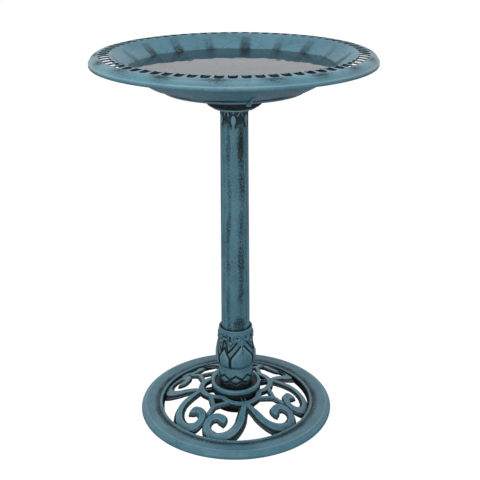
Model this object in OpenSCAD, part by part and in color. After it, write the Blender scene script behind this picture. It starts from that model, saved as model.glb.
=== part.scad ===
// Pedestal bird bath. A pierced-rim basin twists onto a round plate on top of a tube.
// The tube stands in a leaf-pattern column foot, which one bolt holds in an openwork base.

/* [Overall] */
// Height from the ground to the top of the rim
total_h = 720; // [600:5:900]
// Diameter of the basin over its lip
basin_d = 508; // [420:2:620]
// Diameter of the base ring
base_d = 386; // [320:2:480]

/* [Basin] */
// Depth of the bowl below the rim
bowl_depth = 56.5; // [40:0.5:80]
// Wall thickness of the basin
basin_wall = 3.5; // [2.5:0.1:5]
// Radius of the flat floor
floor_r = 137; // [134:1:150]
// How quickly the wall steepens towards the rim
bowl_curve = 1.35; // [1.1:0.05:1.8]
// Width from the edge of the bowl to the lip
rim_w = 36; // [33:1:50]
// Fall of the rim from the bowl's edge to the skirt
rim_fall = 2; // [0:0.5:3]
// Height of the turned-down lip
lip_h = 19; // [17:0.5:26]
// Radius of the skirt that rounds the rim over
skirt_r = 14; // [11:0.5:14]
// Height of the plain band at the bottom of the lip
band_h = 7.5; // [5:0.5:10]
// Number of pierced openings around the rim
hole_count = 68; // [48:1:76]
// Width of one opening
hole_w = 13; // [8:0.2:13.2]
// Radial length of one opening
hole_l = 17.5; // [12:0.5:19]
// Radius of the foot rib that rests on the plate
foot_r = 120; // [90:1:124]

/* [Twist lock] */
// Number of locking lugs
lug_count = 3; // [2:1:4]
// Radius of the middle of the lugs
lug_r = 30; // [26:1:32]
// Turn from locked to free, in degrees
twist_a = 30; // [20:1:40]
// Angle that one lug covers
lug_a = 16; // [10:1:20]
// Clearance around a lug in its slot
lug_gap = 0.4; // [0.3:0.1:0.8]
// Direction of the release tab
tab_a = 281; // [240:1:320]

/* [Support plate and cap] */
// Diameter of the plate under the basin
plate_d = 258; // [250:1:262]
// Thickness of the plate
plate_t = 4; // [3:0.5:5]
// Gap between the plate and the basin's floor
plate_gap = 2.2; // [1.5:0.1:4]
// Diameter of the cap
cap_d = 103; // [96:1:120]
// Height of the cap below the plate
cap_h = 33.8; // [28:0.2:45]
// Wall thickness of the cap
cap_wall = 3; // [2:0.5:4]
// Circle of the plate screws, as a radius
screw_pcr = 46.5; // [44:0.5:47]

/* [Column] */
// Diameter of the tube at its top
tube_top_d = 50.7; // [44:0.1:54]
// Diameter of the tube at its foot
tube_foot_d = 57; // [54:0.1:60]
// Wall thickness of the tube
tube_wall = 2.5; // [2:0.1:4]
// Height of the top of the column foot
vase_top = 183; // [165:1:210]
// Height of the ledge that the tube stands on
ledge_z = 104; // [80:1:120]
// Radius of the column foot at its neck
neck_r = 35.4; // [34:0.2:38]
// Radius of the column foot at its belly
belly_r = 40.4; // [39:0.2:46]
// Radius of the spigot in the base
spigot_r = 33; // [30:0.5:34]

/* [Base] */
// Width of the base ring
ring_w = 43; // [34:1:50]
// Height of the base ring
ring_h = 15.5; // [12:0.5:20]
// Wall thickness of the base ring
ring_wall = 3; // [2:0.5:4]
// Outside radius of the hub bead
hub_r = 51; // [49:0.5:54]
// Height of the top of the hub bead
hub_top = 59; // [54:1:66]
// Outside radius of the four lobes around the hub
lobe_r = 75.5; // [72:0.5:80]
// Height of the top of the lobes
lobe_z = 45; // [40:1:50]
// Width of the lobe bars, and of a scroll where it leaves its lobe
bar_w = 9; // [7:0.5:11]
// Width of a scroll around its loop
scroll_w = 12.5; // [9:0.5:14]
// Width of the two struts that steady each pair of scrolls
strut_w = 7; // [4:0.5:9]
// Thickness of the openwork
bar_t = 9; // [6:0.5:11]
// Direction of the first lobe
lobe_a = 15; // [0:1:45]
// Bulge radius of the openwork's dome
dome_r = 133; // [110:1:180]
// Outside radius of the socket under the hub
socket_r = 43; // [42:0.5:46]
// Height of the bottom of the socket above the ground
socket_z = 6.6; // [4:0.2:10]

/* [Fasteners] */
// Diameter of the base bolt
bolt_d = 8; // [6:1:10]
// Diameter of the plate screws
screw_d = 4; // [3:0.5:5]

/* [Hidden] */
$fn = 96;

teal = [0.31, 0.50, 0.56];
dark = [0.13, 0.15, 0.17];
steel = [0.62, 0.63, 0.65];

eps = 0.01;
fit_gap = 0.3;
basin_r = basin_d / 2;
rim_in_r = basin_r - rim_w;
flat_end_r = basin_r - skirt_r - 1;
lip_z = total_h - lip_h;
band_z = lip_z + band_h;
skirt_z = total_h - rim_fall - skirt_r;
skirt_end_a = asin((band_z - skirt_z) / skirt_r);
floor_z = total_h - bowl_depth;
basin_z = floor_z - basin_wall;
bowl_run = rim_in_r - floor_r;
bowl_steps = 12;

plate_r = plate_d / 2;
plate_z = basin_z - plate_gap;
cap_top = plate_z - plate_t;
cap_z = cap_top - cap_h;
cap_r = cap_d / 2;
lug_w = 4;
lug_head_w = 10;
lug_head_h = 4.4;

tube_top_r = tube_top_d / 2;
tube_foot_r = tube_foot_d / 2;
vase_bore_r = tube_foot_r + fit_gap;
ring_out_r = base_d / 2;
ring_in_r = ring_out_r - ring_w;
hub_in_r = hub_r - 8.5;
hub_z = hub_top - 19;
seat_z = ring_h / 2;
socket_floor = 16;
socket_floor_t = 4;
vase_z = socket_floor + socket_floor_t;
vase_floor_t = 4;
bolt_r = bolt_d / 2;
washer_t = 1.6;
bolt_head_h = 5.3;
nut_h = 6.8;
lobe_band_r = (lobe_r - bar_w / 2) * 0.52;
lobe_c = lobe_r - bar_w / 2 - lobe_band_r;

// A scroll's outer loop and its inner hook share the space between the lobes and the ring.
scroll_space = ring_in_r - lobe_r;
loop_r = scroll_space * 0.54;
hook_r = scroll_space * 0.26;
hook_y = hook_r + scroll_w / 2 - 0.6;
loop_reach = ring_in_r - scroll_w / 2 - loop_r + 0.2;
loop_c = [sqrt(loop_reach * loop_reach - hook_y * hook_y), hook_y];
hook_c = loop_c + [loop_r - hook_r, 0];
link_x = lobe_r + 10;

function bowl_z(t) = floor_z + bowl_depth * pow(t, bowl_curve);
function bowl_a(t) = atan(bowl_depth * bowl_curve * pow(t, bowl_curve - 1) / bowl_run);
function arc(c, r, a0, a1, n) =
    [for (i = [0:n]) let (a = a0 + (a1 - a0) * i / n) c + r * [cos(a), sin(a)]];

basin_outline = concat(
    [[0, floor_z]],
    [for (i = [0:bowl_steps]) let (t = i / bowl_steps) [floor_r + bowl_run * t, bowl_z(t)]],
    arc([flat_end_r, skirt_z], skirt_r, 90, skirt_end_a, 6),
    [[basin_r - 0.8, band_z - 0.3], [basin_r, band_z - 1.3]],
    [[basin_r, lip_z + 1.2], [basin_r - 0.8, lip_z], [basin_r - basin_wall, lip_z]],
    arc([flat_end_r, skirt_z], skirt_r - basin_wall, skirt_end_a, 90, 6),
    [[rim_in_r + basin_wall, total_h - basin_wall - 0.3]],
    [for (i = [bowl_steps - 1:-1:0]) let (t = i / bowl_steps, a = bowl_a(t))
        [floor_r + bowl_run * t, bowl_z(t)] + basin_wall * [sin(a), -cos(a)]],
    [[0, basin_z]]
);

// Centre of the dome's profile circle, from the lobe's edge and the seat on the ring.
dome_from = [lobe_r, lobe_z];
dome_to = [ring_in_r, seat_z];
dome_span = norm(dome_to - dome_from);
dome_dir = (dome_to - dome_from) / dome_span;
dome_rise = sqrt(dome_r * dome_r - dome_span * dome_span / 4);
dome_c = (dome_from + dome_to) / 2 + dome_rise * [dome_dir[1], -dome_dir[0]];

module ring_sector(r0, r1, z0, z1, a0, a1) {
    rotate([0, 0, a0])
        rotate_extrude(angle = a1 - a0)
            translate([r0, z0])
                square([r1 - r0, z1 - z0]);
}

module turned(points) {
    rotate_extrude()
        polygon(points);
}

// ---------------------------------------------------------------- basin

module rim_hole() {
    hole_r = hole_w / 2;
    translate([rim_in_r + 1, 0, total_h - basin_wall - rim_fall - 1])
        linear_extrude(basin_wall + rim_fall + 2)
            union() {
                translate([0, -hole_r])
                    square([hole_l - hole_r, hole_w]);
                translate([hole_l - hole_r, 0])
                    circle(hole_r);
            }
}

module locking_lug() {
    head_z = cap_top - lug_gap - lug_head_h;
    ring_sector(lug_r - lug_w / 2, lug_r + lug_w / 2, head_z, basin_z + eps, -lug_a / 2, lug_a / 2);
    ring_sector(lug_r - lug_head_w / 2, lug_r + lug_head_w / 2, head_z, head_z + lug_head_h,
        -lug_a / 2, lug_a / 2);
}

module basin() {
    foot_w = 4;
    color(teal) {
        difference() {
            turned(basin_outline);
            for (i = [0:hole_count - 1])
                rotate([0, 0, i * 360 / hole_count])
                    rim_hole();
        }
        ring_sector(foot_r - foot_w, foot_r, plate_z + fit_gap, basin_z + eps, 0, 360);
        for (i = [0:lug_count - 1])
            rotate([0, 0, i * 360 / lug_count])
                locking_lug();
    }
}

// A springy tab under the bowl whose hook catches the edge of the plate.
module release_tab() {
    edge_r = plate_r + 0.6;
    hook_z = cap_top - 0.6;
    under_z = basin_z - 0.6;
    root_r = plate_r + 37;
    // Rise of the bowl's wall over the root, as the arm is drawn and as it is now. The arm keeps under it.
    drawn_rise = 56.5 * pow(29 / 81, 1.35);
    steep = bowl_depth * pow((root_r - floor_r) / (rim_in_r - floor_r), bowl_curve) / drawn_rise;
    root_z = basin_z + 12.2 * steep;
    side = [
        [root_r, root_z], [plate_r + 26, basin_z + 6 * steep],
        [plate_r + 17.5, basin_z + 1.9 * steep], [plate_r + 11, under_z], [edge_r, under_z],
        [edge_r, hook_z], [edge_r - 3, hook_z], [edge_r - 3, hook_z - 2.6],
        [edge_r + 3, hook_z - 2.6], [edge_r + 5.5, hook_z], [plate_r + 9, basin_z - 4],
        [plate_r + 18, basin_z - 1], [plate_r + 27, basin_z + 3.3 * steep],
        [root_r + 0.6, root_z - 2.4]
    ];
    color(teal)
        rotate([0, 0, tab_a])
            intersection() {
                translate([0, 6, 0])
                    rotate([90, 0, 0])
                        linear_extrude(12)
                            polygon(side);
                translate([0, 0, cap_top - 10])
                    linear_extrude(40)
                        polygon([[plate_r - 5, -4.2], [root_r + 2, -1.5],
                            [root_r + 2, 1.5], [plate_r - 5, 4.2]]);
            }
}

// ---------------------------------------------------------------- plate and cap

module lug_slot() {
    slot_w = lug_w + 2 * lug_gap;
    window_w = lug_head_w + 2 * lug_gap;
    margin_a = lug_a / 2 + 1.2;
    ring_sector(lug_r - slot_w / 2, lug_r + slot_w / 2, cap_top - 1, plate_z + 1,
        -margin_a, twist_a);
    ring_sector(lug_r - window_w / 2, lug_r + window_w / 2, cap_top - 1, plate_z + 1,
        twist_a - margin_a, twist_a + margin_a);
}

module at_plate_screws() {
    for (i = [0:3])
        rotate([0, 0, 45 + i * 90])
            translate([screw_pcr, 0, 0])
                children();
}

module support_plate() {
    rib_count = 8;
    rib_w = 2.5;
    edge = arc([plate_r - plate_t / 2, cap_top + plate_t / 2], plate_t / 2, -90, 90, 6);
    color(teal)
        difference() {
            union() {
                turned(concat([[0, cap_top]], edge, [[0, plate_z]]));
                for (i = [0:rib_count - 1])
                    rotate([0, 0, i * 360 / rib_count])
                        translate([0, rib_w / 2, 0])
                            rotate([90, 0, 0])
                                linear_extrude(rib_w)
                                    polygon([[cap_r + 2.5, cap_top + 1], [cap_r + 2.5, cap_top - 6],
                                        [plate_r - 14, cap_top - 1], [plate_r - 14, cap_top + 1]]);
            }
            for (i = [0:lug_count - 1])
                rotate([0, 0, i * 360 / lug_count])
                    lug_slot();
            at_plate_screws() {
                translate([0, 0, cap_top - 1])
                    cylinder(r = screw_d / 2 + 0.25, h = plate_t + 2);
                translate([0, 0, plate_z - 2])
                    cylinder(r = screw_d + 0.3, h = 3);
            }
        }
}

module plate_screws() {
    head_h = 2;
    color(steel)
        at_plate_screws() {
            translate([0, 0, plate_z - 2])
                cylinder(r = screw_d, h = head_h);
            translate([0, 0, plate_z - 2 - 12])
                cylinder(r = screw_d / 2, h = 12 + eps);
        }
}

module pole_cap() {
    rim_r = cap_r + 1.5;
    in_r = cap_r - cap_wall;
    floor_t = 4;
    spigot_wall = 3;
    spigot_in_r = tube_top_r - tube_wall - 0.1 - spigot_wall;
    outline = [
        [0, cap_z + floor_t], [in_r - 14, cap_z + floor_t], [in_r - 6, cap_z + 6.5],
        [in_r - 1.5, cap_z + 10], [in_r, cap_z + 14], [in_r, cap_top - 4], [screw_pcr - 6.5, cap_top - 4],
        [screw_pcr - 6.5, cap_top], [rim_r, cap_top], [rim_r, cap_top - 3.5], [cap_r, cap_top - 7],
        [cap_r, cap_z + 13], [cap_r - 1.5, cap_z + 8], [cap_r - 4.5, cap_z + 4.2],
        [cap_r - 7.5, cap_z + 2.3], [cap_r - 11, cap_z + 0.6], [cap_r - 15, cap_z],
        [spigot_in_r + spigot_wall, cap_z], [spigot_in_r + spigot_wall, cap_z - 24],
        [spigot_in_r, cap_z - 24], [spigot_in_r, cap_z], [0, cap_z]
    ];
    color(teal)
        difference() {
            union() {
                turned(outline);
                at_plate_screws()
                    translate([0, 0, cap_top - 18])
                        cylinder(r = 4.6, h = 15);
            }
            at_plate_screws()
                translate([0, 0, cap_top - 14])
                    cylinder(r = screw_d / 2, h = 15);
        }
}

// ---------------------------------------------------------------- column

module pole_tube() {
    color(teal)
        turned([
            [tube_foot_r - tube_wall, ledge_z], [tube_foot_r, ledge_z],
            [tube_top_r, cap_z], [tube_top_r - tube_wall, cap_z]
        ]);
}

module column_foot() {
    rim_r = neck_r - 1.4;
    hollow_r = spigot_r - 3;
    web_z = ledge_z - 4;
    outline = [
        [0, vase_z], [spigot_r, vase_z], [spigot_r, hub_top + 1], [neck_r + 1.4, hub_top + 7],
        [neck_r + 2, hub_top + 13], [neck_r, hub_top + 19], [neck_r, ledge_z - 9],
        [neck_r + 3, ledge_z + 1], [belly_r, ledge_z + 14], [belly_r, ledge_z + 22],
        [belly_r - 2, ledge_z + 34], [neck_r + 0.5, vase_top - 34], [rim_r + 0.4, vase_top - 24],
        [rim_r, vase_top - 15], [rim_r, vase_top - 9], [rim_r + 1, vase_top - 6],
        [rim_r + 1, vase_top - 2], [rim_r, vase_top], [rim_r - 2.5, vase_top],
        [vase_bore_r, vase_top - 7], [vase_bore_r, ledge_z], [bolt_r, ledge_z], [bolt_r, web_z],
        [hollow_r, web_z], [hollow_r, vase_z + vase_floor_t], [0, vase_z + vase_floor_t]
    ];
    color(teal)
        difference() {
            turned(outline);
            translate([0, 0, vase_z - 1])
                cylinder(r = bolt_r + fit_gap, h = vase_floor_t + 2);
        }
}

module tie_bolt() {
    color(steel) {
        translate([0, 0, socket_floor - washer_t - bolt_head_h])
            cylinder(r = 7.5, h = bolt_head_h, $fn = 6);
        translate([0, 0, socket_floor - washer_t - eps])
            cylinder(r = bolt_r, h = 22);
    }
}

module tie_nut() {
    color(steel)
        translate([0, 0, vase_z + vase_floor_t + washer_t])
            difference() {
                cylinder(r = 7.5, h = nut_h, $fn = 6);
                translate([0, 0, -1])
                    cylinder(r = bolt_r, h = nut_h + 2);
            }
}

module tie_washers() {
    color(steel)
        for (z = [socket_floor - washer_t, vase_z + vase_floor_t])
            translate([0, 0, z])
                difference() {
                    cylinder(r = 11, h = washer_t);
                    translate([0, 0, -1])
                        cylinder(r = bolt_r + fit_gap, h = washer_t + 2);
                }
}

// ---------------------------------------------------------------- base

module base_ring() {
    inner = ring_in_r;
    outer = ring_out_r;
    deck_z = ring_h - 1.5;
    outline = [
        [outer - 1.5, 0], [outer, 3], [outer, 6], [outer - 2, ring_h - 5], [outer - 5.5, ring_h - 2.2],
        [outer - 9, ring_h - 1.3], [inner + 20, deck_z], [inner + 7.5, ring_h - 2.5],
        [inner + 6, ring_h - 1], [inner + 4.5, ring_h], [inner + 1.5, ring_h], [inner, ring_h - 1.5],
        [inner, 0], [inner + ring_wall, 0], [inner + ring_wall, ring_h - 5.5],
        [outer - 9, ring_h - 5.5], [outer - 1.5 - ring_wall, 5], [outer - 1.5 - ring_wall, 0]
    ];
    color(teal)
        turned(outline);
}

module band(r, w) {
    difference() {
        circle(r + w / 2);
        circle(r - w / 2);
    }
}

module quarter(size) {
    polygon([[0, 0], size * [1, -1], size * [1, 1]]);
}

module lobes_plan() {
    difference() {
        union()
            for (i = [0:3])
                rotate([0, 0, lobe_a + i * 90])
                    intersection() {
                        translate([lobe_c, 0])
                            band(lobe_band_r, bar_w);
                        quarter(lobe_r + 1);
                    }
        circle(hub_r - 3);
    }
}

module lobes_filled() {
    for (i = [0:3])
        rotate([0, 0, lobe_a + i * 90])
            translate([lobe_c, 0])
                circle(lobe_band_r + bar_w / 2);
}

// A straight bar that widens from w0 to w1.
module bar(from, to, w0, w1) {
    span = to - from;
    translate(from)
        rotate([0, 0, atan2(span[1], span[0])])
            polygon([[0, -w0 / 2], [norm(span), -w1 / 2], [norm(span), w1 / 2], [0, w0 / 2]]);
}

// Part of a band, from angle a0 to a1 about its centre.
module band_arc(c, r, a0, a1) {
    intersection() {
        translate(c)
            band(r, scroll_w);
        polygon(concat([c], arc(c, r * 2.5, a0, a1, 8)));
    }
}

// One curling arm on the +Y side of the X axis, from the lobe out to the ring and back.
module arm_plan() {
    start = (lobe_r - 2) * [cos(45), sin(45)];
    to_c = loop_c - start;
    turn_a = atan2(-to_c[1], -to_c[0]) - acos(min(1, loop_r / norm(to_c)));
    bar(start, loop_c + loop_r * [cos(turn_a), sin(turn_a)], bar_w - 1, scroll_w);
    band_arc(loop_c, loop_r, -1, turn_a + 3);
    band_arc(hook_c, hook_r, -205, 1);
    translate(hook_c + hook_r * [cos(155), sin(155)])
        circle(scroll_w * 0.56);
}

module scroll_plan() {
    strut_foot = lobe_c * [cos(45), sin(45)] + (lobe_band_r + bar_w / 2 - 2) * [cos(-10), sin(-10)];
    for (side = [0, 1])
        mirror([0, side]) {
            arm_plan();
            bar([link_x, 0], strut_foot, strut_w, strut_w);
        }
    translate([link_x - strut_w / 2, -strut_w / 2])
        square([hook_c[0] - link_x - hook_r / 2, strut_w]);
}

module dome_shell(outset) {
    rotate_extrude()
        intersection() {
            translate(dome_c)
                difference() {
                    circle(dome_r + outset, $fn = 360);
                    circle(dome_r - bar_t, $fn = 360);
                }
            translate([lobe_c / 2, 1])
                square([ring_in_r - lobe_c / 2, hub_top]);
        }
}

module scroll(index) {
    color(teal)
        intersection() {
            dome_shell(0);
            linear_extrude(hub_top)
                rotate([0, 0, lobe_a + 45 + index * 90])
                    intersection() {
                        quarter(ring_out_r);
                        difference() {
                            scroll_plan();
                            rotate([0, 0, -lobe_a - 45])
                                lobes_filled();
                        }
                    }
        }
}

module base_hub() {
    bead = hub_r - hub_in_r;
    color(teal) {
        intersection() {
            dome_shell(0);
            linear_extrude(hub_top)
                lobes_plan();
        }
        rotate_extrude()
            union() {
                translate([hub_in_r, hub_z])
                    square([bead, hub_top - bead / 2 - hub_z]);
                translate([hub_in_r + bead / 2, hub_top - bead / 2])
                    circle(bead / 2);
            }
    }
}

module hub_socket() {
    rib_count = 8;
    rib_w = 2.5;
    wall = 3;
    inner = socket_r - wall;
    color(dark)
        difference() {
            union() {
                turned([
                    [0, socket_floor], [inner, socket_floor], [inner, socket_z], [socket_r, socket_z],
                    [socket_r, hub_z - 4], [hub_r - 3, hub_z - 4], [hub_r - 3, hub_z],
                    [inner, hub_z], [inner, vase_z], [0, vase_z]
                ]);
                for (i = [0:rib_count - 1])
                    rotate([0, 0, i * 360 / rib_count])
                        translate([spigot_r + fit_gap, -rib_w / 2, vase_z - eps])
                            cube([inner - spigot_r, rib_w, hub_z - vase_z - 6]);
            }
            translate([0, 0, socket_floor - 1])
                cylinder(r = bolt_r + fit_gap, h = socket_floor_t + 2);
        }
}

module scroll_back_right() { scroll(0); }
module scroll_back_left() { scroll(1); }
module scroll_front_left() { scroll(2); }
module scroll_front_right() { scroll(3); }

basin();
release_tab();
support_plate();
plate_screws();
pole_cap();
pole_tube();
column_foot();
tie_bolt();
tie_nut();
tie_washers();
hub_socket();
base_hub();
base_ring();
scroll_front_right();
scroll_back_right();
scroll_back_left();
scroll_front_left();
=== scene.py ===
"""Looks of the pedestal bird bath: detailed pieces, finishes, floor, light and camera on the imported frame."""

import math

import bpy
import numpy as np
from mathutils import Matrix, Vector


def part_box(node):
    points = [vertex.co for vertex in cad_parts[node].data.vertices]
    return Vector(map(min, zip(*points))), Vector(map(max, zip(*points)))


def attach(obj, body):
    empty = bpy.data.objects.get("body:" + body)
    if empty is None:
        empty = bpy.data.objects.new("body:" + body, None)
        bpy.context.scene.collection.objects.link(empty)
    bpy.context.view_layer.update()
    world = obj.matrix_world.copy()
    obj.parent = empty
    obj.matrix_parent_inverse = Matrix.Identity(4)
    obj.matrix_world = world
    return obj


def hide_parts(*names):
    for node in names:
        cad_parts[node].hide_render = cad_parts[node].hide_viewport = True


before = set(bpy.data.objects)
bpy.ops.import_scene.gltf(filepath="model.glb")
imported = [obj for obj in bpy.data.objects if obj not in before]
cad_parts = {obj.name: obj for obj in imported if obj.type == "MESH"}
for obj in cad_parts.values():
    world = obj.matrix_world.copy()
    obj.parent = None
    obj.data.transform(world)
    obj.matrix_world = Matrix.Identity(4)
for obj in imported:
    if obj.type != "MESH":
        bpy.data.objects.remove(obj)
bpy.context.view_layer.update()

MM = 0.001

# ---------------------------------------------------------------- sizes, in millimetres


def box_mm(node):
    """Lowest and highest corner of a CAD node in millimetres."""
    return [np.array(corner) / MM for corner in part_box(node)]


BASIN_R = box_mm("basin")[1][0]
RIM_Z = box_mm("basin")[1][2]
RIM_IN_R = BASIN_R - 36
FLOOR_R = 137.0
FLOOR_Z = RIM_Z - 56.5
WALL = 3.5
SKIRT_R = 14.0
RIM_FALL = 1.6
FLANGE_T = 2.0
FLAT_END_R = BASIN_R - SKIRT_R - 1
LIP_Z = RIM_Z - 19
BAND_Z = LIP_Z + 7.5
HOLES = 68
HOLE_W = 13.0
HOLE_L = 17.5
HOLE_GROWN = 0.9
WATER_Z = 694.5
RIB_R = 120.0  # of the rib under the bowl that rests on the support plate
PETALS = 10
PETAL_A = 84.4
MARKS = 18
MARK_A = 5.0
RIM_MARK_A = 3.0

PLATE_Z = box_mm("support_plate")[1][2]
CAP_TOP = PLATE_Z - 4
TUBE_TOP = box_mm("pole_tube")[1][2]
TUBE_FOOT = box_mm("pole_tube")[0][2]
TUBE_R0, TUBE_R1 = 28.5, 25.35
TUBE_WALL = 2.5
VASE_LO, VASE_TOP = box_mm("column_foot")[0][2], box_mm("column_foot")[1][2]
PETAL_CENTRE = 292.0
DEG = 0.66  # millimetres along the foot's surface for one degree
RING_R = box_mm("base_ring")[1][0]
RING_IN = RING_R - 43
RING_H = box_mm("base_ring")[1][2]
HUB_TOP = box_mm("base_hub")[1][2]
HUB_R = 49.6
HUB_IN = 42.8
LOBE_R = 75.5
LOBE_BAND = 36.92
LOBE_C = 34.08
BAR_W = 9.0
PAD_W = 14.6
FLANK = 3.8
STRUT_W = 9.0
BAR_T = 9.0
LOBE_A = 15.0
DOME_R = 133.0
DOME_C = (56.8, -86.6)
LOOP_R = 40.2
HOOK_R = 17.0
LOOP_C = (100.7, 25.0)
HOOK_C = (121.5, 25.0)
LINK_X = 85.5
DIAGONAL = 0.7071
ROUND = 1.7

# ---------------------------------------------------------------- mesh helpers


def smooth(x, lo, hi):
    """0 below lo, 1 above hi, and an even blend between them."""
    t = np.clip((x - lo) / (hi - lo), 0, 1)
    return t * t * (3 - 2 * t)


def fall(x, lo, hi):
    """1 below lo and 0 above hi."""
    return 1 - smooth(x, lo, hi)


def bell(x, width):
    return np.exp(-((x / width) ** 2))


def polar(centre, radius, degrees):
    """A point in a plane at an angle round a centre."""
    turn = math.radians(degrees)
    return centre[0] + radius * math.cos(turn), centre[1] + radius * math.sin(turn)


def rotate(x, y, turn):
    """Points turned about the origin, by an angle in radians."""
    c, s = math.cos(turn), math.sin(turn)
    return x * c - y * s, x * s + y * c


def outward(points, faces):
    """The faces, turned over if they enclose a negative volume."""
    p = np.asarray(points, float)
    volume = 0.0
    for size in (3, 4):
        f = np.array([face for face in faces if len(face) == size], int).reshape(-1, size)
        for k in range(1, size - 1):
            volume += np.einsum("ij,ij->", p[f[:, 0]], np.cross(p[f[:, k]], p[f[:, k + 1]]))
    return faces if volume > 0 else [face[::-1] for face in faces]


def mesh_object(name, points, faces, material, masks=()):
    """A smooth-shaded mesh from points in millimetres, with two masks as vertex attributes: dark rub with painted
    shade, and painted highlights.
    """
    mesh = bpy.data.meshes.new(name)
    mesh.from_pydata((np.asarray(points, float) * MM).tolist(), [], faces)
    mesh.update()
    for key, values in zip(("rub_and_shade", "edge"), masks):
        attribute = mesh.attributes.new(key, "FLOAT", "POINT")
        attribute.data.foreach_set("value", np.asarray(values, np.float32).ravel())
    mesh.polygons.foreach_set("use_smooth", np.ones(len(mesh.polygons), bool))
    mesh.materials.append(material)
    obj = bpy.data.objects.new(name, mesh)
    bpy.context.scene.collection.objects.link(obj)
    return obj


def piece(name, points, faces, masks, body, node, material=None):
    """A closed piece that rides on a body and stands for a CAD node."""
    obj = mesh_object(name, points, outward(points, faces), material or TEAL, masks)
    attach(obj, body)
    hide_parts(node)


def soften(outline, radius, step, closed=True):
    """The outline with its corners rounded by a short curve and its long sides divided."""
    pts = [np.array(p, float) for p in outline]
    n = len(pts)
    made = []
    for i, p in enumerate(pts):
        if not closed and i in (0, n - 1):
            made.append(p)
            continue
        before, after = pts[i - 1] - p, pts[(i + 1) % n] - p
        reach_b, reach_a = np.linalg.norm(before), np.linalg.norm(after)
        cut = min(radius, 0.45 * reach_b, 0.45 * reach_a)
        start, end = p + before / reach_b * cut, p + after / reach_a * cut
        for t in (0, 0.25, 0.5, 0.75, 1):
            made.append((1 - t) ** 2 * start + 2 * t * (1 - t) * p + t * t * end)
    dense = []
    count = len(made)
    for i in range(count if closed else count - 1):
        a, b = made[i], made[(i + 1) % count]
        gap = np.linalg.norm(b - a)
        if gap < 1e-6:
            continue
        parts = max(1, int(math.ceil(gap / step)))
        dense += [a + (b - a) * k / parts for k in range(parts)]
    if not closed:
        dense.append(made[-1])
    return np.array(dense)


def section_normals(section):
    """Outward unit normals of a closed section that runs with the material on its left."""
    along = np.roll(section, -1, 0) - np.roll(section, 1, 0)
    along /= np.maximum(np.linalg.norm(along, axis=1, keepdims=True), 1e-9)
    return np.stack([along[:, 1], -along[:, 0]], 1)


def grid_faces(rows, cols, wrap_rows):
    """Quads of a grid whose columns wrap round; point (row, col) is row * cols + col."""
    i = np.arange(rows if wrap_rows else rows - 1)[:, None]
    j = np.arange(cols)[None, :]
    here, above, after = i * cols, (i + 1) % rows * cols, (j + 1) % cols
    return np.stack([here + j, here + after, above + after, above + j], -1).reshape(-1, 4).tolist()


def turned(section, steps):
    """Angle, radius and height of each point of a section (r, z) turned about Z."""
    angle = np.arange(steps) * 2 * math.pi / steps
    a, r = np.meshgrid(angle, section[:, 0])
    return a, r, np.meshgrid(angle, section[:, 1])[1]


def cartesian(a, r, z):
    return np.stack([r * np.cos(a), r * np.sin(a), z], -1).reshape(-1, 3)


def lathe(section, steps):
    """A closed section (r, z) turned about Z: points, faces, and the angle, radius and height of each point."""
    a, r, z = turned(section, steps)
    return cartesian(a, r, z), grid_faces(len(section), steps, True), a.ravel(), r.ravel(), z.ravel()


def wrap(angle, period):
    """Signed offset, in degrees, from the nearest multiple of the period."""
    return (angle + period / 2) % period - period / 2


def around(angle, first, count):
    """Degrees from the nearest of `count` even places round the axis, the first of them at `first` degrees."""
    return wrap(np.degrees(angle) - first, 360 / count)


# ---------------------------------------------------------------- materials

TEAL_TINT, TEAL_SHADE = (0.069, 0.200, 0.263, 1), (0.043, 0.137, 0.194, 1)
# A lighter, bluer copy of the teal for the tube: painted light on the tube
LIT_POLE_TINT, LIT_POLE_SHADE = (0.080, 0.236, 0.310, 1), (0.050, 0.162, 0.228, 1)
TEAL_MOTTLE = (0.090, 0.217, 0.274, 1)
# Light teal that the painted highlights blend towards
TEAL_PAINTED_HIGHLIGHT = (0.22, 0.40, 0.45, 1)
# Dark colours of the rub and of the painted shade
RUB_AND_SHADE_BLACK, RUB_AND_SHADE_BROWN = (0.005, 0.005, 0.006, 1), (0.021, 0.016, 0.015, 1)
# Near-black of the dark resin, darkened further as painted shade
RESIN_AND_SHADE_BLACK, RESIN_AND_SHADE_BROWN = (0.006, 0.006, 0.007, 1), (0.018, 0.014, 0.014, 1)
ZINC_BRIGHT, ZINC_DULL = (0.62, 0.63, 0.65, 1), (0.34, 0.34, 0.33, 1)


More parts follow.
